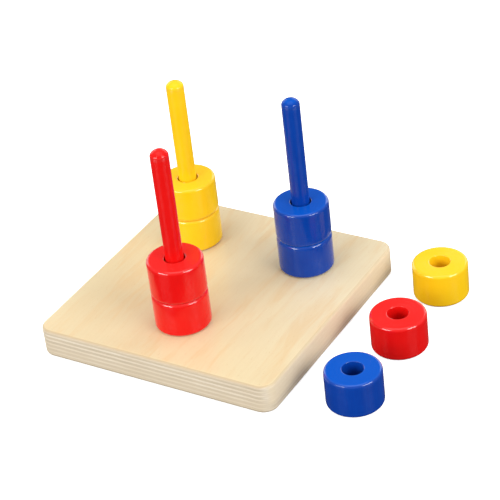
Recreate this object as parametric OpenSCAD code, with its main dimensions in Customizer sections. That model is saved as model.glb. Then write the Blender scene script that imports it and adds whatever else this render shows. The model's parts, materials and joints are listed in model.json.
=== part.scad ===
// Colour ring stacker: a square plywood board with three pegs and nine rings.
// Millimetres. +Z is up, the origin is the centre of the board's underside.
// The single red peg stands at the front (-Y), the loose rings lie on the +X side.

/* [Board] */
// Side length of the square board
board_side = 180; // [150:1:240]
// Thickness of the board
board_t = 21; // [18:0.5:27]
// Radius of the upright corners
corner_r = 10; // [4:0.5:25]
// Radius of the rounded top and bottom edges
board_round = 2; // [0.5:0.25:4]

/* [Pegs] */
// Diameter of a peg
peg_d = 12.4; // [8:0.1:13]
// Height of the red peg above the board
red_rise = 132.5; // [90:0.5:160]
// Height of the yellow peg above the board
yellow_rise = 127; // [90:0.5:160]
// Height of the blue peg above the board
blue_rise = 130; // [90:0.5:160]
// Distance of each peg from the board's two centre lines
peg_offset = 45; // [35:0.5:55]
// Radius of the crown on top of a peg
crown_r = 7.5; // [6.5:0.25:12]
// Radius of the edge around the crown
crown_edge_r = 3.5; // [1:0.25:4]
// Diameter of the tenon under the peg's shoulder
tenon_d = 10; // [6:0.5:11]
// Length of the tenon
tenon_len = 14; // [8:0.5:16]

/* [Rings] */
// Outer diameter of a ring
ring_d = 38.2; // [32:0.1:60]
// Height of a ring
ring_h = 25.5; // [12:0.5:30]
// Diameter of the hole through a ring
bore_d = 14.25; // [13.5:0.25:20]
// Radius of a ring's outer edges
ring_round = 2.25; // [0.5:0.25:5]
// Radius of the hole's edges
bore_round = 0.5; // [0.25:0.25:2]

/* [Loose rings] */
// Distance of the row of loose rings from the board's centre, along X
row_x = 132; // [112:1:180]
// Middle of the row of loose rings, along Y
row_y = 10; // [-40:0.5:40]
// Spacing of the loose rings in their row
row_pitch = 64.5; // [40:0.5:90]

/* [Peg screws] */
// Overall length of a screw
screw_len = 30; // [24:0.5:35]
// Thread diameter of a screw
screw_d = 4; // [3:0.5:5]
// Head diameter of a screw
head_d = 8.4; // [6:0.2:10]
// Distance between two turns of the thread
thread_pitch = 1.8; // [1.2:0.1:2.5]
// Depth of the screw head below the board's underside
head_sink = 0.5; // [0:0.1:1]

/* [Hidden] */

$fn = 96;

// Where each colour's peg stands, and where its loose ring lies
red_at = [0, -peg_offset];
yellow_at = [-peg_offset, peg_offset];
blue_at = [peg_offset, peg_offset];
red_loose_at = [row_x, row_y];
yellow_loose_at = [row_x, row_y + row_pitch];
blue_loose_at = [row_x, row_y - row_pitch];

// Glue gap around a tenon and under its foot
glue_gap = 0.05;
socket_depth = tenon_len + 0.2;

// Screw: core of the thread, hole in the board and pilot hole in the peg
core_r = screw_d / 2 - 0.65;
thread_r = screw_d / 2;
clear_r = thread_r + 0.25;
pilot_r = core_r + 0.15;
head_cone = (head_d - screw_d) / 2;
tip_len = 3;
cross_w = 1.2;
cross_len = 4.8;
cross_depth = 1.7;
screw_top = head_sink + screw_len;

// Crown of a peg: one large arc over a smaller arc at its edge
peg_r = peg_d / 2;
edge_x = peg_r - crown_edge_r;
crown_rise = sqrt(pow(crown_r - crown_edge_r, 2) - pow(edge_x, 2));
crown_h = crown_r - crown_rise;
crown_angle = atan2(crown_rise, edge_x);

// Paint and wood colours for the preview
red_paint = [0.83, 0.08, 0.08];
yellow_paint = [1.00, 0.78, 0.05];
blue_paint = [0.10, 0.30, 0.68];
birch = [0.93, 0.84, 0.66];
steel = [0.72, 0.73, 0.75];

// Quarter of a disc of radius r, between the +X and +Y axes
module quarter_disc(r) {
    intersection() {
        circle(r = r);
        square(r);
    }
}

// Slice of a disc of radius r, between the angles a0 and a1 (less than 90 degrees apart)
module disc_slice(r, a0, a1) {
    far = 3 * r;
    intersection() {
        circle(r = r);
        polygon([
            [0, 0],
            [far * cos(a0), far * sin(a0)],
            [far * cos(a1), far * sin(a1)]
        ]);
    }
}

// Square of the given side with round corners, centred
module round_square(side, r) {
    in = side / 2 - r;
    square([side, 2 * in], center = true);
    square([2 * in, side], center = true);
    for (a = [0, 90, 180, 270]) {
        rotate(a)
            translate([in, in])
                quarter_disc(r);
    }
}

// Rounding along one long edge of the board and around its next corner
module edge_round() {
    in = board_side / 2 - corner_r;
    shift = board_side / 2 - board_round;
    translate([shift, in, 0])
        rotate([90, 0, 0])
            linear_extrude(2 * in)
                quarter_disc(board_round);
    translate([in, in, 0])
        rotate_extrude(angle = 90)
            translate([corner_r - board_round, 0])
                quarter_disc(board_round);
}

// The solid board without its holes
module board_blank() {
    translate([0, 0, board_round])
        linear_extrude(board_t - 2 * board_round)
            round_square(board_side, corner_r);
    linear_extrude(board_t)
        round_square(board_side - 2 * board_round, corner_r - board_round);
    for (a = [0, 90, 180, 270]) {
        translate([0, 0, board_t - board_round])
            rotate(a)
                edge_round();
        translate([0, 0, board_round])
            mirror([0, 0, 1])
                rotate(a)
                    edge_round();
    }
}

// Everything cut from the board for one peg: socket, screw hole and countersink
module peg_holes() {
    translate([0, 0, board_t - socket_depth])
        cylinder(h = socket_depth + 1, r = tenon_d / 2 + glue_gap);
    translate([0, 0, -1])
        cylinder(h = board_t, r = clear_r);
    translate([0, 0, -1])
        cylinder(h = 1 + head_sink + 0.02, r = head_d / 2 + 0.2);
    translate([0, 0, head_sink])
        cylinder(h = head_cone + 0.2, r1 = head_d / 2 + 0.2, r2 = thread_r);
}

// One peg that rises the given height above the board, its tenon inside the board
module peg(rise) {
    peg_top = board_t + rise;
    pilot_depth = screw_top - (board_t - tenon_len) + 1;
    difference() {
        union() {
            rotate_extrude() {
                translate([0, board_t])
                    square([peg_r, rise - crown_h]);
                translate([edge_x, peg_top - crown_h])
                    disc_slice(crown_edge_r, 0, crown_angle);
                translate([0, peg_top - crown_r])
                    disc_slice(crown_r, crown_angle, 90);
            }
            translate([0, 0, board_t - tenon_len + 0.8])
                cylinder(h = tenon_len, r = tenon_d / 2);
            translate([0, 0, board_t - tenon_len])
                cylinder(h = 0.8, r1 = tenon_d / 2 - 0.8, r2 = tenon_d / 2);
        }
        translate([0, 0, board_t - tenon_len - 1])
            cylinder(h = pilot_depth + 1, r = pilot_r);
        translate([0, 0, board_t - tenon_len + pilot_depth])
            cylinder(h = pilot_r, r1 = pilot_r, r2 = 0);
    }
}

// One countersunk wood screw, head down
module peg_screw() {
    shank_top = board_t - tenon_len;
    turns = floor((screw_len - tip_len - shank_top) / thread_pitch);
    thread_start = screw_top - tip_len - turns * thread_pitch;
    difference() {
        union() {
            translate([0, 0, head_sink])
                cylinder(h = head_cone, r1 = head_d / 2, r2 = screw_d / 2);
            translate([0, 0, head_sink])
                cylinder(h = thread_start - head_sink, r = core_r + 0.35);
            translate([0, 0, head_sink])
                cylinder(h = screw_len - tip_len, r = core_r);
            translate([0, 0, screw_top - tip_len])
                cylinder(h = tip_len, r1 = core_r, r2 = 0.1);
            for (i = [0:turns - 1]) {
                translate([0, 0, thread_start + i * thread_pitch])
                    thread_turn();
            }
        }
        for (a = [0, 90]) {
            rotate(a)
                translate([-cross_len / 2, -cross_w / 2, head_sink - 1])
                    cube([cross_len, cross_w, cross_depth + 1]);
        }
    }
}

// One turn of the thread, as a sharp collar around the core
module thread_turn() {
    rotate_extrude()
        polygon([
            [core_r - 0.2, 0.25 * thread_pitch],
            [core_r, 0.25 * thread_pitch],
            [thread_r, 0.5 * thread_pitch - 0.05],
            [thread_r, 0.5 * thread_pitch + 0.05],
            [core_r, 0.75 * thread_pitch],
            [core_r - 0.2, 0.75 * thread_pitch]
        ]);
}

// One ring, standing on the origin's height
module ring() {
    bore_r = bore_d / 2;
    outer_r = ring_d / 2;
    rotate_extrude() {
        translate([bore_r + bore_round, 0])
            square([outer_r - ring_round - bore_r - bore_round, ring_h]);
        translate([bore_r, bore_round])
            square([bore_round, ring_h - 2 * bore_round]);
        translate([outer_r - ring_round, ring_round])
            square([ring_round, ring_h - 2 * ring_round]);
        translate([bore_r + bore_round, ring_h - bore_round])
            rotate(90)
                quarter_disc(bore_round);
        translate([bore_r + bore_round, bore_round])
            rotate(180)
                quarter_disc(bore_round);
        translate([outer_r - ring_round, ring_h - ring_round])
            quarter_disc(ring_round);
        translate([outer_r - ring_round, ring_round])
            rotate(270)
                quarter_disc(ring_round);
    }
}

module base_board() {
    color(birch)
        difference() {
            board_blank();
            for (at = [red_at, yellow_at, blue_at]) {
                translate(at)
                    peg_holes();
            }
        }
}

module peg_red() {
    color(red_paint)
        translate(red_at)
            peg(red_rise);
}

module peg_yellow() {
    color(yellow_paint)
        translate(yellow_at)
            peg(yellow_rise);
}

module peg_blue() {
    color(blue_paint)
        translate(blue_at)
            peg(blue_rise);
}

module peg_screw_red() {
    color(steel)
        translate(red_at)
            peg_screw();
}

module peg_screw_yellow() {
    color(steel)
        translate(yellow_at)
            peg_screw();
}

module peg_screw_blue() {
    color(steel)
        translate(blue_at)
            peg_screw();
}

module ring_red_lower() {
    color(red_paint)
        translate([red_at.x, red_at.y, board_t])
            ring();
}

module ring_red_upper() {
    color(red_paint)
        translate([red_at.x, red_at.y, board_t + ring_h])
            ring();
}

module ring_red_loose() {
    color(red_paint)
        translate(red_loose_at)
            ring();
}

module ring_yellow_lower() {
    color(yellow_paint)
        translate([yellow_at.x, yellow_at.y, board_t])
            ring();
}

module ring_yellow_upper() {
    color(yellow_paint)
        translate([yellow_at.x, yellow_at.y, board_t + ring_h])
            ring();
}

module ring_yellow_loose() {
    color(yellow_paint)
        translate(yellow_loose_at)
            ring();
}

module ring_blue_lower() {
    color(blue_paint)
        translate([blue_at.x, blue_at.y, board_t])
            ring();
}

module ring_blue_upper() {
    color(blue_paint)
        translate([blue_at.x, blue_at.y, board_t + ring_h])
            ring();
}

module ring_blue_loose() {
    color(blue_paint)
        translate(blue_loose_at)
            ring();
}

base_board();
peg_red();
peg_yellow();
peg_blue();
peg_screw_red();
peg_screw_yellow();
peg_screw_blue();
ring_red_lower();
ring_red_upper();
ring_red_loose();
ring_yellow_lower();
ring_yellow_upper();
ring_yellow_loose();
ring_blue_lower();
ring_blue_upper();
ring_blue_loose();
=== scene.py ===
import json
import math

import bmesh
import bpy
from mathutils import Matrix, Vector, noise


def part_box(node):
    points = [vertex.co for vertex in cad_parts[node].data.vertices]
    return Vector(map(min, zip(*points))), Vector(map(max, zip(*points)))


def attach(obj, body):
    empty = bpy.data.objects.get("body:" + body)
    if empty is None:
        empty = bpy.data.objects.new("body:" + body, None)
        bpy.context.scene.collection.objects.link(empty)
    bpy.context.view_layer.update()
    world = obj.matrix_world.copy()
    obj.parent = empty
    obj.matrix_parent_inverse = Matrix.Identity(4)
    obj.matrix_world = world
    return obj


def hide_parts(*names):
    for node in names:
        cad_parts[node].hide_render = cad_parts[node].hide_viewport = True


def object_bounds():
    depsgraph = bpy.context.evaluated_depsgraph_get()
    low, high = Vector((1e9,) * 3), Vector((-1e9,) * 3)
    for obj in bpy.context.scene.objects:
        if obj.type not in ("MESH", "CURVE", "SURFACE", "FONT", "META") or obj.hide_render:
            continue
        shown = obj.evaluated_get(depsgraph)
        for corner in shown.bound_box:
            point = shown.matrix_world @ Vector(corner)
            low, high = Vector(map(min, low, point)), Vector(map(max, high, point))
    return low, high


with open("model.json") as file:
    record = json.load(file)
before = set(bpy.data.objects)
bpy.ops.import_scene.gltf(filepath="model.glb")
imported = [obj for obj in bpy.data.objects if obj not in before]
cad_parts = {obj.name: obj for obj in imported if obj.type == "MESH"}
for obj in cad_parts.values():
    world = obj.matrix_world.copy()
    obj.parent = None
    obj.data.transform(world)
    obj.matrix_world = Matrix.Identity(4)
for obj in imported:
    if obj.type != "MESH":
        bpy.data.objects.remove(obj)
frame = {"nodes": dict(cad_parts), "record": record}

cad_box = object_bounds()
MM = 0.001
TINY = 1e-9
COLOURS = ("red", "yellow", "blue")
MOUNTS = {m["name"]: m for m in frame["record"]["mounts"]}


# ---------------------------------------------------------------- sizes: the board, bore and pegs from the frame, the rest given

def size_of(node):
    lo, hi = (Vector(c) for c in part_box(node))
    return lo, hi, hi - lo, (lo + hi) / 2


board_lo, board_hi, board_size, board_mid = size_of("base_board")
BOARD_T = board_size.z
CORNER_R = 10 * MM
BOARD_ROUND = 2 * MM
PLIES = 13
PLY_T = BOARD_T / PLIES
BORE_R = MOUNTS["ring_red_loose_bore"]["dims"]["r_mm"] * MM
PEG_R = MOUNTS["peg_red_shaft"]["dims"]["r_mm"] * MM


# ---------------------------------------------------------------- node helpers

class Nodes:
    """A short way to write a node tree."""

    def __init__(self, tree):
        self.tree = tree
        tree.nodes.clear()

    def add(self, kind, inputs=None, **props):
        node = self.tree.nodes.new(kind)
        for key, value in props.items():
            setattr(node, key, value)
        for key, value in (inputs or {}).items():
            self.put(node.inputs[key], value)
        return node

    def put(self, socket, value):
        if isinstance(value, bpy.types.NodeSocket):
            self.tree.links.new(value, socket)
        elif isinstance(value, bpy.types.Node):
            self.tree.links.new(value.outputs[0], socket)
        else:
            socket.default_value = value

    def math(self, op, a, b=0.0):
        node = self.add("ShaderNodeMath", operation=op)
        self.put(node.inputs[0], a)
        self.put(node.inputs[1], b)
        return node.outputs[0]

    def plus(self, a, b):
        return self.math("ADD", a, b)

    def minus(self, a, b):
        return self.math("SUBTRACT", a, b)

    def times(self, a, b):
        return self.math("MULTIPLY", a, b)

    def stretch(self, vector, scale):
        node = self.add("ShaderNodeVectorMath", operation="MULTIPLY")
        self.put(node.inputs[0], vector)
        node.inputs[1].default_value = scale
        return node.outputs[0]

    def millimetres(self):
        """The place of a point in the frame, in mm."""
        place = self.add("ShaderNodeTexCoord").outputs["Object"]
        return self.stretch(place, (1000.0, 1000.0, 1000.0))

    def noise(self, vector, scale=1.0, detail=2.0, rough=0.5, distort=0.0):
        node = self.add("ShaderNodeTexNoise")
        self.put(node.inputs["Vector"], vector)
        node.inputs["Scale"].default_value = scale
        node.inputs["Detail"].default_value = detail
        node.inputs["Roughness"].default_value = rough
        node.inputs["Distortion"].default_value = distort
        return node.outputs["Fac"]

    def remap(self, value, a, b, c=0.0, d=1.0, smooth=False):
        """Takes a to b onto c to d and holds the ends."""
        node = self.add("ShaderNodeMapRange", clamp=True)
        if smooth:
            node.interpolation_type = "SMOOTHSTEP"
        self.put(node.inputs["Value"], value)
        for key, v in zip(("From Min", "From Max", "To Min", "To Max"), (a, b, c, d)):
            self.put(node.inputs[key], v)
        return node.outputs[0]

    def mix(self, fac, a, b):
        """Blends two colours: inputs 6 and 7 and output 2 are the node's colour sockets."""
        node = self.add("ShaderNodeMix", data_type="RGBA")
        self.put(node.inputs[0], fac)
        self.put(node.inputs[6], a)
        self.put(node.inputs[7], b)
        return node.outputs[2]

    def split(self, vector):
        node = self.add("ShaderNodeSeparateXYZ")
        self.put(node.inputs[0], vector)
        return node.outputs

    def join(self, x, y, z):
        node = self.add("ShaderNodeCombineXYZ")
        for i, v in enumerate((x, y, z)):
            self.put(node.inputs[i], v)
        return node.outputs[0]

    def bump(self, height, distance, strength, normal=None):
        node = self.add("ShaderNodeBump")
        node.inputs["Strength"].default_value = strength
        node.inputs["Distance"].default_value = distance
        self.put(node.inputs["Height"], height)
        if normal is not None:
            self.put(node.inputs["Normal"], normal)
        return node.outputs[0]

    def shader(self, colour, rough, normal, **fixed):
        """The Principled shader. fixed holds what is the same all over, by socket name."""
        node = self.add("ShaderNodeBsdfPrincipled")
        self.put(node.inputs["Base Color"], colour)
        self.put(node.inputs["Roughness"], rough)
        self.put(node.inputs["Normal"], normal)
        for key, value in fixed.items():
            node.inputs[key.replace("_", " ")].default_value = value
        self.add("ShaderNodeOutputMaterial", {"Surface": node})
        return node

    def mix_shader(self, fac, a, b):
        node = self.add("ShaderNodeMixShader")
        for i, v in enumerate((fac, a, b)):
            self.put(node.inputs[i], v)
        return node


def linear(c):
    c /= 255
    return c / 12.92 if c <= 0.04045 else ((c + 0.055) / 1.055) ** 2.4


def srgb(r, g, b):
    """A colour written as it looks on a screen, 0 to 255, as Blender's linear values."""
    return (linear(r), linear(g), linear(b), 1.0)


def new_material(name):
    mat = bpy.data.materials.new(name)
    mat.use_nodes = True
    return mat, Nodes(mat.node_tree)


# ---------------------------------------------------------------- materials

def paint_material(name, main, deep, light, painted_top_light):
    """Gloss enamel over turned wood. Every vertex carries its place in the piece (mm), its distance
    along the turned profile (mm) and how near an edge it is, from 0 to 1."""
    mat, n = new_material(name)
    place = n.add("ShaderNodeAttribute", attribute_name="place").outputs["Vector"]
    path = n.add("ShaderNodeAttribute", attribute_name="path").outputs["Fac"]
    edge = n.add("ShaderNodeAttribute", attribute_name="edge").outputs["Fac"]
    x, y = n.split(place)[:2]
    facing_up = n.math("ABSOLUTE", n.split(n.add("ShaderNodeTexCoord").outputs["Normal"])[2])

    clouds = n.noise(n.stretch(place, (0.07, 0.07, 0.07)), 1.0, 2.0, 0.5)
    fibres = n.noise(n.stretch(place, (1.4, 1.4, 0.07)), 1.0, 3.0, 0.55)
    peel = n.noise(place, 0.35, 2.0, 0.5)
    specks = n.noise(n.stretch(place, (3.0, 3.0, 1.5)), 1.0, 2.0, 0.5)
    around = n.join(n.times(path, 0.55), n.times(x, 0.025), n.times(y, 0.025))
    tool_marks = n.noise(around, 1.0, 3.0, 0.65)

    colour = n.mix(n.remap(clouds, 0.3, 0.7), deep, main)
    # Painted highlight: faces that look up are painted towards the light colour, as if lit from above
    colour = n.mix(n.remap(facing_up, 0.6, 0.95, 0.0, painted_top_light, True), colour, light)
    colour = n.mix(n.remap(fibres, 0.45, 0.8, 0.0, 0.12), colour, light)
    worn = n.times(edge, n.remap(specks, 0.4, 0.75, 0.0, 0.3))
    colour = n.mix(worn, colour, light)

    normal = n.bump(fibres, 0.03 * MM, 0.3)
    normal = n.bump(tool_marks, 0.2 * MM, 0.7, normal)
    normal = n.bump(peel, 0.12 * MM, 0.3, normal)
    rough = n.remap(n.plus(clouds, n.times(specks, 0.3)), 0.4, 0.9, 0.09, 0.15)
    enamel = n.shader(
        colour, rough, normal,
        IOR=1.5, Specular_IOR_Level=0.24, Coat_Roughness=0.12, Coat_IOR=1.6,
    )

    # The paint gathers on the roundings and is glossier there
    n.put(enamel.inputs["Coat Weight"], n.remap(edge, 0.4, 0.7, 0.0, 1.0, True))
    n.put(enamel.inputs["Coat Normal"], normal)
    return mat


def plywood_material():
    """Birch plywood: veneer on the two faces, thirteen plies on the edges, under a satin lacquer."""
    mat, n = new_material("plywood")
    place = n.millimetres()
    x, y, z = n.split(place)[:3]
    facing = n.split(n.add("ShaderNodeTexCoord").outputs["Normal"])[:3]
    facing_x, facing_y, facing_z = (n.math("ABSOLUTE", v) for v in facing)

    # Face veneer, its fibres along Y
    drift = n.noise(n.stretch(place, (0.05, 0.012, 0.05)), 1.0, 2.0, 0.5)
    bent = n.join(n.plus(x, n.times(drift, 9.0)), y, z)
    figure = n.noise(n.stretch(bent, (0.1, 0.016, 0.08)), 1.0, 3.0, 0.6, 0.5)
    streaks = n.noise(n.stretch(bent, (0.9, 0.02, 0.5)), 1.0, 3.0, 0.6)
    fine = n.noise(n.stretch(bent, (5.5, 0.09, 3.0)), 1.0, 3.0, 0.65)
    clouds = n.noise(n.stretch(place, (0.022, 0.014, 0.02)), 1.0, 2.0, 0.5)
    flecks = n.noise(n.stretch(bent, (2.4, 0.28, 1.5)), 1.0, 2.0, 0.5)
    fleck = n.remap(flecks, 0.66, 0.76, 0.0, 0.5, True)

    warm = n.mix(n.remap(clouds, 0.35, 0.65), srgb(216, 196, 154), srgb(219, 202, 161))
    pale = n.mix(n.remap(clouds, 0.35, 0.65), srgb(219, 202, 166), srgb(222, 207, 173))
    across = n.plus(n.times(x, 0.4), n.plus(n.times(y, 0.6), n.times(drift, 30.0)))
    face = n.mix(n.remap(across, -25.0, 65.0, 0.0, 1.0, True), warm, pale)
    face = n.mix(n.remap(figure, 0.45, 0.68, 0.0, 0.5, True), face, srgb(217, 183, 132))
    face = n.mix(n.remap(streaks, 0.45, 0.75, 0.0, 0.16), face, srgb(207, 173, 124))
    face = n.mix(n.remap(fine, 0.35, 0.7, 0.0, 0.16), face, srgb(238, 218, 180))
    face = n.mix(fleck, face, srgb(200, 164, 116))

    # Plies on the edges, counted down from the top
    wave = n.noise(n.stretch(place, (0.045, 0.045, 0.0)), 1.0, 3.0, 0.5)
    wavy_z = n.plus(z, n.times(n.minus(wave, 0.5), 0.7))
    level = n.minus(BOARD_T / MM, wavy_z)
    ply = n.math("DIVIDE", level, PLY_T / MM)
    index = n.math("FLOOR", ply)
    inside = n.minus(ply, index)
    crossed = n.math("MODULO", index, 2.0)
    along = n.plus(n.times(facing_x, crossed), n.times(facing_y, n.minus(1.0, crossed)))
    end = n.remap(along, 0.25, 0.75, 0.0, 1.0, True)
    seam_above = n.remap(inside, 0.0, 0.09, 1.0, 0.0, True)
    seam_below = n.remap(inside, 0.91, 1.0, 0.0, 1.0, True)
    seam = n.math("MAXIMUM", seam_above, seam_below)

    by_ply = n.join(n.times(index, 7.3), n.times(x, 0.025), n.times(y, 0.025))
    tone = n.noise(by_ply, 1.0, 2.0, 0.5)
    ring = n.noise(n.stretch(place, (0.35, 0.35, 2.6)), 1.0, 3.0, 0.6)
    pores = n.noise(n.stretch(place, (4.0, 4.0, 6.0)), 1.0, 2.0, 0.6)
    long_lines = n.noise(n.stretch(place, (0.12, 0.12, 5.0)), 1.0, 3.0, 0.6)

    end_grain = n.mix(n.remap(ring, 0.35, 0.7), srgb(238, 226, 205), srgb(229, 215, 192))
    end_grain = n.mix(n.remap(pores, 0.55, 0.75, 0.0, 0.3), end_grain, srgb(212, 192, 164))
    long_grain = n.mix(n.remap(long_lines, 0.35, 0.65), srgb(216, 200, 174), srgb(199, 183, 156))
    edges = n.mix(end, long_grain, end_grain)
    edges = n.mix(n.remap(tone, 0.4, 0.62, 0.0, 0.5), edges, srgb(221, 204, 177))
    edges = n.mix(n.times(seam, 0.5), edges, srgb(186, 165, 137))
    edges = n.mix(n.remap(z, 3.0, 14.0, 0.5, 0.0, True), edges, srgb(217, 200, 172))

    # The two sides that face ±X are painted paler with their plies washed out: painted light, as if a
    # lamp shone full on them, with less of it near the bottom
    painted_lit_side = n.mix(n.remap(ring, 0.35, 0.7), srgb(242, 225, 194), srgb(237, 218, 183))
    side = n.remap(facing_x, 0.6, 0.95, 0.0, 1.0, True)
    upper = n.remap(z, 4.5, 9.0, 0.2, 0.9, True)
    edges = n.mix(n.times(side, upper), edges, painted_lit_side)

    # Faces, edges, and painted shade on the rounded edge between them, which dims the highlight it
    # catches; less of it on the sides that face ±X
    flat = n.remap(facing_z, 0.55, 0.8, 0.0, 1.0, True)
    colour = n.mix(flat, edges, face)
    level_face = n.remap(facing_z, 0.9, 0.99, 0.0, 1.0, True)
    # Painted shade: the rounded edge between face and side is painted darker to dim its highlight
    turned_up = n.remap(facing_z, 0.15, 0.5, 0.0, 0.85, True)
    painted_rounding_shade = n.times(turned_up, n.minus(1.0, level_face))
    painted_rounding_shade = n.times(painted_rounding_shade, n.remap(facing_x, 0.2, 0.6, 1.0, 0.45, True))
    colour = n.mix(painted_rounding_shade, colour, srgb(190, 168, 135))

    face_height = n.minus(n.times(fine, 0.7), n.times(fleck, 0.6))
    edge_height = n.minus(n.times(pores, -0.5), n.times(seam, 0.8))
    not_flat = n.minus(1.0, flat)
    height = n.plus(n.times(flat, face_height), n.times(not_flat, edge_height))
    normal = n.bump(height, 0.05 * MM, 0.5)
    rough = n.plus(n.remap(fine, 0.3, 0.75, 0.36, 0.5), n.times(fleck, 0.15))
    board = n.shader(colour, rough, normal, IOR=1.45, Specular_IOR_Level=0.3, Coat_Roughness=0.2)
    n.put(board.inputs["Coat Weight"], n.remap(level_face, 0.0, 1.0, 0.1, 0.8))
    return mat


def steel_material():
    """Zinc-plated steel: fine turned lines, slightly uneven plating."""
    mat, n = new_material("screw_steel")
    place = n.millimetres()
    plating = n.noise(place, 0.8, 4.0, 0.6)
    lines = n.noise(n.stretch(place, (0.6, 0.6, 9.0)), 1.0, 3.0, 0.6)
    colour = n.mix(n.remap(plating, 0.35, 0.7), (0.50, 0.52, 0.56, 1), (0.66, 0.67, 0.68, 1))
    normal = n.bump(lines, 0.02 * MM, 0.4)
    rough = n.remap(plating, 0.3, 0.75, 0.24, 0.42)
    n.shader(colour, rough, normal, Metallic=1.0)
    return mat


plywood = plywood_material()
steel = steel_material()

# Each paint's main, deep and light colour, and how much of the light one is painted onto the faces that
# look up, as painted light on the tops
PAINTS = {
    "red": (srgb(228, 20, 18), srgb(222, 15, 14), srgb(232, 42, 39), 0.6),
    "yellow": (srgb(250, 203, 27), srgb(248, 199, 21), srgb(246, 196, 46), 0.5),
    "blue": (srgb(9, 61, 157), srgb(7, 56, 150), srgb(9, 93, 200), 0.55),
}
paint = {colour: paint_material(f"{colour}_paint", *PAINTS[colour]) for colour in COLOURS}


# ---------------------------------------------------------------- mesh helpers

def finish_piece(name, bm, material, replaced, body, sharp_deg=40.0):
    """Makes an object from a bmesh, smooth but for its sharp edges, and puts it in the frame."""
    bmesh.ops.recalc_face_normals(bm, faces=bm.faces)
    limit = math.radians(sharp_deg)
    for face in bm.faces:
        face.smooth = True
    for edge in bm.edges:
        edge.smooth = len(edge.link_faces) == 2 and edge.calc_face_angle(0.0) < limit
    mesh = bpy.data.meshes.new(name)
    bm.to_mesh(mesh)
    bm.free()
    mesh.materials.append(material)
    obj = bpy.data.objects.new(name, mesh)
    bpy.context.scene.collection.objects.link(obj)
    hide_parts(replaced)
    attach(obj, body)
    return obj


def arc(cx, cz, r, a0, a1, steps, first=True):
    """Points on an arc in the (radius, height) plane, angles in degrees."""
    span = range(0 if first else 1, steps + 1)
    turn = [math.radians(a0 + (a1 - a0) * i / steps) for i in span]
    return [(cx + r * math.cos(t), cz + r * math.sin(t)) for t in turn]


def run(a, b, steps):
    """Points from a to b without the ends."""
    return [tuple(a[k] + (b[k] - a[k]) * i / steps for k in (0, 1)) for i in range(1, steps)]


def lathe(profile, edge_of, centre, segments, closed, wobble, seed):
    """Turns a profile of (radius, height above centre) about Z, with a little of the unevenness that
    sanding by hand leaves. The unevenness only takes material away, so the piece stays inside its
    CAD solid. edge_of and wobble take a radius and a height."""
    bm = bmesh.new()
    place = bm.verts.layers.float_vector.new("place")
    path = bm.verts.layers.float.new("path")
    edge = bm.verts.layers.float.new("edge")
    rows = []
    travelled = 0.0
    before = profile[0]
    for r, h in profile:
        row = []
        travelled += math.hypot(r - before[0], h - before[1])
        before = (r, h)
        for i in range(segments if r > TINY else 1):
            a = 2 * math.pi * i / segments
            c, s = math.cos(a), math.sin(a)
            uneven = noise.noise(Vector((c * 1.7 + seed, s * 1.7, h / MM * 0.07)))
            uneven += 0.5 * noise.noise(Vector((c * 4.0, s * 4.0 + seed, h / MM * 0.16)))
            rr = r + wobble(r, h) * (0.5 + 0.5 * max(-1.0, min(1.0, uneven)))
            v = bm.verts.new((centre.x + rr * c, centre.y + rr * s, centre.z + h))
            v[place] = (rr * c / MM + seed * 37.0, rr * s / MM, h / MM)
            v[path] = travelled / MM + seed * 11.0
            v[edge] = edge_of(r, h)
            row.append(v)
        rows.append(row)
    pairs = list(zip(rows, rows[1:])) + ([(rows[-1], rows[0])] if closed else [])
    for low, high in pairs:
        for i in range(segments):
            j = (i + 1) % segments
            if len(low) == 1:
                bm.faces.new((low[0], high[j], high[i]))
            elif len(high) == 1:
                bm.faces.new((low[i], low[j], high[0]))
            else:
                bm.faces.new((low[i], low[j], high[j], high[i]))
    return bm


# ---------------------------------------------------------------- rings

RING_ROUND = 2.25 * MM
BORE_ROUND = 0.5 * MM
RING_SANDING = -0.11 * MM
BORE_SANDING = 0.02 * MM
RING_SEGMENTS = 144


def make_ring(colour, which, seed):
    node = f"ring_{colour}_{which}"
    lo, _, size, mid = size_of(node)
    outer, height = size.x / 2, size.z
    rim, lip = RING_ROUND, BORE_ROUND
    profile = arc(outer - rim, rim, rim, -90, 0, 10)
    profile += run((outer, rim), (outer, height - rim), 14)
    profile += arc(outer - rim, height - rim, rim, 0, 90, 10)
    profile += run((outer - rim, height), (BORE_R + lip, height), 8)
    profile += arc(BORE_R + lip, height - lip, lip, 90, 180, 5)
    profile += run((BORE_R, height - lip), (BORE_R, lip), 8)
    profile += arc(BORE_R + lip, lip, lip, 180, 270, 5)
    profile += run((BORE_R + lip, 0), (outer - rim, 0), 8)

    def edge_of(r, h):
        near = min(math.hypot(r - outer, h - end) for end in (0, height))
        inner = min(math.hypot(r - BORE_R, h - end) for end in (0, height))
        return max(0.0, 1 - near / (1.6 * rim), 1 - inner / (2.5 * lip))

    def wobble(r, h):
        if r > outer - rim - 0.001 * MM:
            return RING_SANDING
        return BORE_SANDING if r < BORE_R + 0.5 * lip else 0.0

    centre = Vector((mid.x, mid.y, lo.z))
    bm = lathe(profile, edge_of, centre, RING_SEGMENTS, True, wobble, seed)
    return finish_piece(f"painted_{node}", bm, paint[colour], node, node)


# ---------------------------------------------------------------- pegs

TENON_R = 5.0 * MM
TENON_CHAMFER = 0.8 * MM
PILOT_R = 1.5 * MM
PILOT_PAST_SCREW = 1.0 * MM
CROWN_R = 7.5 * MM
CROWN_EDGE_R = 3.5 * MM
CROWN_GLOSS_REACH = 4.0 * MM
PEG_SANDING = -0.07 * MM
PEG_SEGMENTS = 80


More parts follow.
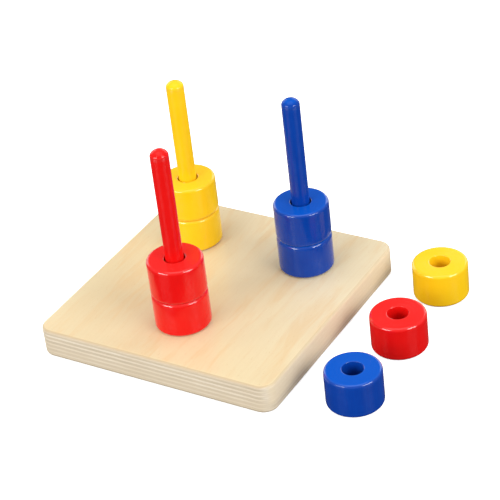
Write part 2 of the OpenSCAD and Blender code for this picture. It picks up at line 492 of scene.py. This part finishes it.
def make_peg(colour, seed):
    node = f"peg_{colour}"
    lo, hi, _, mid = size_of(node)
    tenon, foot, top = lo.z, board_hi.z, hi.z
    pilot_end = size_of(f"peg_screw_{colour}")[1].z + PILOT_PAST_SCREW

    # The crown is a flat dome with a rounded edge. This is the angle at which the two arcs meet.
    edge_x = PEG_R - CROWN_EDGE_R
    rise = math.sqrt((CROWN_R - CROWN_EDGE_R) ** 2 - edge_x ** 2)
    tilt = math.degrees(math.atan2(rise, edge_x))

    # From the pilot hole's end down to the foot, then up the tenon and the shaft to the tip
    wall = MOUNTS[f"peg_{colour}_shaft"]["dims"]["length_mm"] * MM
    base = foot + wall
    profile = [(0.0, pilot_end + PILOT_R), (PILOT_R, pilot_end)]
    profile += run((PILOT_R, pilot_end), (PILOT_R, tenon), 6)
    profile += [(PILOT_R, tenon), (TENON_R - TENON_CHAMFER, tenon), (TENON_R, tenon + TENON_CHAMFER)]
    profile += run((TENON_R, tenon + TENON_CHAMFER), (TENON_R, foot), 4)
    profile += [(TENON_R, foot), (PEG_R, foot)]
    profile += run((PEG_R, foot), (PEG_R, base), 72)
    profile += arc(edge_x, base, CROWN_EDGE_R, 0, tilt, 10)
    profile += arc(0, top - CROWN_R, CROWN_R, tilt, 90, 9, first=False)[:-1]
    profile += [(0.0, top)]
    profile = [(r, z - foot) for r, z in profile]

    def edge_of(r, h):
        near_crown = max(0.0, 1 - abs(h - wall) / CROWN_GLOSS_REACH)
        return 0.8 * near_crown if r > TENON_R else 0.0

    def wobble(r, h):
        return PEG_SANDING if h > 0.2 * MM and r > TENON_R else 0.0

    centre = Vector((mid.x, mid.y, foot))
    bm = lathe(profile, edge_of, centre, PEG_SEGMENTS, False, wobble, seed)
    return finish_piece(f"painted_{node}", bm, paint[colour], node, "base", 30.0)


# ---------------------------------------------------------------- board

EDGE_SANDING = 0.05 * MM
SEAM_DEPTH = 0.05 * MM
SEAM_HALF = 0.11 * MM
SEAM_WAVE = 0.16 * MM
FACE_RIMS = (4.0 * MM, 0.6 * MM)
ROUND_STEPS = 8


def outline(steps_side=56, steps_corner=14):
    """Pairs of a point and an outward direction around the board. The point lies one corner radius
    inside the board's side, and is the corner's centre along a corner."""
    inner = board_size.x / 2 - CORNER_R
    corners = [(inner, inner), (-inner, inner), (-inner, -inner), (inner, -inner)]
    points = []
    for k, (cx, cy) in enumerate(corners):
        start = 90 * k
        for i in range(steps_corner + 1):
            a = math.radians(start + 90 * i / steps_corner)
            points.append((Vector((cx, cy)), Vector((math.cos(a), math.sin(a)))))
        nx, ny = corners[(k + 1) % 4]
        a = math.radians(start + 90)
        out = Vector((round(math.cos(a)), round(math.sin(a))))
        for i in range(1, steps_side):
            t = i / steps_side
            points.append((Vector((cx + (nx - cx) * t, cy + (ny - cy) * t)), out))
    return points


def board_profile():
    """Rows of (inset from the full width, height, 1 on a joint line) up the board's side."""
    e, t = BOARD_ROUND, BOARD_T
    turns = [math.radians(90 * i / ROUND_STEPS) for i in range(ROUND_STEPS + 1)]
    rows = [(e + rim, 0.0, 0) for rim in FACE_RIMS]
    rows += [(e - e * math.sin(a), e - e * math.cos(a), 0) for a in turns]
    for k in range(PLIES - 1, 0, -1):
        z = t - k * PLY_T
        if e + 2 * SEAM_HALF < z < t - e - 2 * SEAM_HALF:
            rows += [(0.0, z - SEAM_HALF, 0), (0.0, z, 1), (0.0, z + SEAM_HALF, 0)]
    rows += [(e - e * math.cos(a), t - e + e * math.sin(a), 0) for a in turns]
    return rows + [(e + rim, t, 0) for rim in reversed(FACE_RIMS)]


def solid_of(name, rows):
    """A closed object from rows of points, each row one loop around the piece, bottom to top."""
    bm = bmesh.new()
    loops = [[bm.verts.new(p) for p in row] for row in rows]
    count = len(rows[0])
    for low, high in zip(loops, loops[1:]):
        for i in range(count):
            j = (i + 1) % count
            bm.faces.new((low[i], low[j], high[j], high[i]))
    bm.faces.new(list(reversed(loops[0])))
    bm.faces.new(loops[-1])
    bmesh.ops.recalc_face_normals(bm, faces=bm.faces)
    mesh = bpy.data.meshes.new(name)
    bm.to_mesh(mesh)
    bm.free()
    obj = bpy.data.objects.new(name, mesh)
    bpy.context.scene.collection.objects.link(obj)
    return obj


DRILL_SIDES = 64
DRILL_PAST_FACE = 2.0 * MM
HEAD_GAP = 0.2 * MM
HEAD_RIM = 0.02 * MM
COUNTERSINK_DEPTH = 2.3 * MM
SHANK_HOLE_R = 2.25 * MM
SOCKET_GAP = 0.05 * MM
SOCKET_FLOOR_GAP = 0.2 * MM


def drill(colour):
    """The space of one peg's socket, screw hole and countersink, to be cut from the board."""
    peg_lo, _, _, at = size_of(f"peg_{colour}")
    screw_lo, _, screw_size, _ = size_of(f"peg_screw_{colour}")
    head_r = screw_size.x / 2 + HEAD_GAP
    socket_r = TENON_R + SOCKET_GAP
    socket_floor = peg_lo.z - SOCKET_FLOOR_GAP
    profile = [
        (head_r, board_lo.z - DRILL_PAST_FACE),
        (head_r, screw_lo.z + HEAD_RIM),
        (SHANK_HOLE_R, screw_lo.z + COUNTERSINK_DEPTH),
        (SHANK_HOLE_R, socket_floor),
        (socket_r, socket_floor),
        (socket_r, board_hi.z + DRILL_PAST_FACE),
    ]
    turns = [2 * math.pi * i / DRILL_SIDES for i in range(DRILL_SIDES)]
    rows = [[(at.x + r * math.cos(a), at.y + r * math.sin(a), z) for a in turns] for r, z in profile]
    return solid_of(f"drill_{colour}", rows)


def blank_board():
    """The board before it is drilled. Sanding only takes material away."""
    ring = outline()
    rows = []
    for inset, z, line in board_profile():
        row = []
        for centre, out in ring:
            p = centre + out * CORNER_R
            soft = noise.noise(Vector((p.x * 60, p.y * 60, z * 180)))
            wave = noise.noise(Vector((p.x * 45, p.y * 45, z * 7 + 3.0)))
            take = inset + (SEAM_DEPTH * line * (0.6 + 0.4 * wave))
            if 0 < inset <= BOARD_ROUND - 0.001 * MM:
                take += EDGE_SANDING * (0.5 + 0.5 * soft)
            lift = SEAM_WAVE * wave if BOARD_ROUND < z < BOARD_T - BOARD_ROUND else 0.0
            p = centre + out * (CORNER_R - take)
            row.append((board_mid.x + p.x, board_mid.y + p.y, board_lo.z + z + lift))
        rows.append(row)
    return solid_of("blank", rows)


def make_board():
    blank = blank_board()
    drills = [drill(colour) for colour in COLOURS]
    for tool in drills:
        cut = blank.modifiers.new(tool.name, "BOOLEAN")
        cut.operation = "DIFFERENCE"
        cut.solver = "EXACT"
        cut.object = tool
    bpy.context.view_layer.update()
    done = blank.evaluated_get(bpy.context.evaluated_depsgraph_get())
    bm = bmesh.new()
    bm.from_mesh(done.to_mesh())
    done.to_mesh_clear()
    for obj in [blank] + drills:
        old = obj.data
        bpy.data.objects.remove(obj)
        bpy.data.meshes.remove(old)
    return finish_piece("plywood_board", bm, plywood, "base_board", "base", 35.0)


make_board()
for k, colour in enumerate(COLOURS):
    make_peg(colour, 1.0 + k)
    for j, which in enumerate(("lower", "upper", "loose")):
        make_ring(colour, which, 5.0 + 3.1 * k + j)
    for slot in frame["nodes"][f"peg_screw_{colour}"].material_slots:
        slot.material = steel


# ---------------------------------------------------------------- camera

AZIMUTH = math.radians(33.77)
ELEVATION = math.radians(33.03)
ROLL = math.radians(-7.09)
LENS_MM = 134.68
DISTANCE = 7.50 * board_size.x
TARGET = Vector((-0.105 * board_size.x, 0.402 * board_size.x, 0.0))


def way_to(azimuth, elevation):
    """The unit vector that points from the object at this azimuth and elevation, in radians."""
    level = math.cos(elevation)
    return Vector((math.sin(azimuth) * level, -math.cos(azimuth) * level, math.sin(elevation)))


back = way_to(AZIMUTH, ELEVATION)
right = Vector((math.cos(AZIMUTH), math.sin(AZIMUTH), 0.0))
up = back.cross(right)
cam_x = math.cos(ROLL) * right + math.sin(ROLL) * up
cam_y = -math.sin(ROLL) * right + math.cos(ROLL) * up

camera_data = bpy.data.cameras.new("camera")
camera_data.sensor_width = 36.0
camera_data.lens = LENS_MM
camera_data.clip_start = 0.05
camera_data.clip_end = 50.0
camera = bpy.data.objects.new("camera", camera_data)
bpy.context.scene.collection.objects.link(camera)
place_at = TARGET + back * DISTANCE
camera.matrix_world = Matrix((
    (cam_x.x, cam_y.x, back.x, place_at.x),
    (cam_x.y, cam_y.y, back.y, place_at.y),
    (cam_x.z, cam_y.z, back.z, place_at.z),
    (0.0, 0.0, 0.0, 1.0),
))
bpy.context.scene.camera = camera


# ---------------------------------------------------------------- floor, lights and world

FLOOR_HALF = 4.0
FLOOR_GAP = 0.2 * MM
WHITE = (1.0, 1.0, 1.0, 1.0)


def make_floor():
    """White to the camera, a dark satin sheet in mirror images, a mid-grey matte for bounced light."""
    mesh = bpy.data.meshes.new("floor")
    z = cad_box[0][2] - FLOOR_GAP
    corners = [(sx * FLOOR_HALF, sy * FLOOR_HALF, z) for sx, sy in ((-1, -1), (1, -1), (1, 1), (-1, 1))]
    mesh.from_pydata(corners, [], [(0, 1, 2, 3)])
    floor = bpy.data.objects.new("floor", mesh)
    bpy.context.scene.collection.objects.link(floor)
    mat, n = new_material("floor")
    seen = n.add("ShaderNodeBsdfPrincipled", {
        "Base Color": (0.9, 0.9, 0.9, 1.0),
        "Roughness": 0.8,
        "Specular IOR Level": 0.0,
        "Emission Color": WHITE,
        "Emission Strength": 0.6,
    })
    satin = n.add("ShaderNodeBsdfPrincipled", {
        "Base Color": (0.05, 0.05, 0.05, 1.0),
        "Roughness": 0.28,
        "IOR": 1.6,
    })
    matte = n.add("ShaderNodeBsdfDiffuse", {"Color": (0.26, 0.26, 0.26, 1.0)})
    ray = n.add("ShaderNodeLightPath").outputs
    unseen = n.mix_shader(ray["Is Diffuse Ray"], satin, matte)
    blend = n.mix_shader(ray["Is Camera Ray"], unseen, seen)
    n.add("ShaderNodeOutputMaterial", {"Surface": blend})
    mesh.materials.append(mat)


LIGHT_DISTANCE = 2.6
LIGHT_AIM = Vector((0.03, 0.0, 0.03))


def area_light(name, azimuth, elevation, width, height, watts, mirrored=True):
    """An area light. Its azimuth is in degrees from the camera, towards the right of the picture.
    An unmirrored light gives light but no image in the paint."""
    way = way_to(AZIMUTH + math.radians(azimuth), math.radians(elevation))
    light = bpy.data.lights.new(name, "AREA")
    light.shape = "RECTANGLE"
    light.size = width
    light.size_y = height
    light.energy = watts
    obj = bpy.data.objects.new(name, light)
    bpy.context.scene.collection.objects.link(obj)
    obj.location = LIGHT_AIM + way * LIGHT_DISTANCE
    obj.rotation_euler = (-way).to_track_quat("-Z", "Y").to_euler()
    obj.visible_glossy = mirrored


make_floor()
area_light("left", -53, 25, 1.5, 0.9, 33)
area_light("right", 47, 29, 1.5, 0.9, 32)
area_light("above", 0, 84, 2.2, 2.2, 12)
area_light("side_left", -104, 22, 1.5, 1.5, 12, mirrored=False)
area_light("side_right", 104, 22, 1.5, 1.5, 15, mirrored=False)
area_light("rear_left", -150, 18, 1.6, 1.6, 10)
area_light("rear_right", 150, 18, 1.6, 1.6, 10)


def make_world():
    """A white tent: weaker as a mirror image in the paint than as fill light."""
    world = bpy.data.worlds.new("studio")
    bpy.context.scene.world = world
    world.use_nodes = True
    n = Nodes(world.node_tree)
    fill = n.add("ShaderNodeBackground", {"Color": WHITE, "Strength": 0.7})
    image = n.add("ShaderNodeBackground", {"Color": WHITE, "Strength": 0.2})
    mirrored = n.add("ShaderNodeLightPath").outputs["Is Glossy Ray"]
    blend = n.mix_shader(mirrored, fill, image)
    n.add("ShaderNodeOutputWorld", {"Surface": blend})


make_world()
bpy.context.scene.view_settings.view_transform = "Standard"
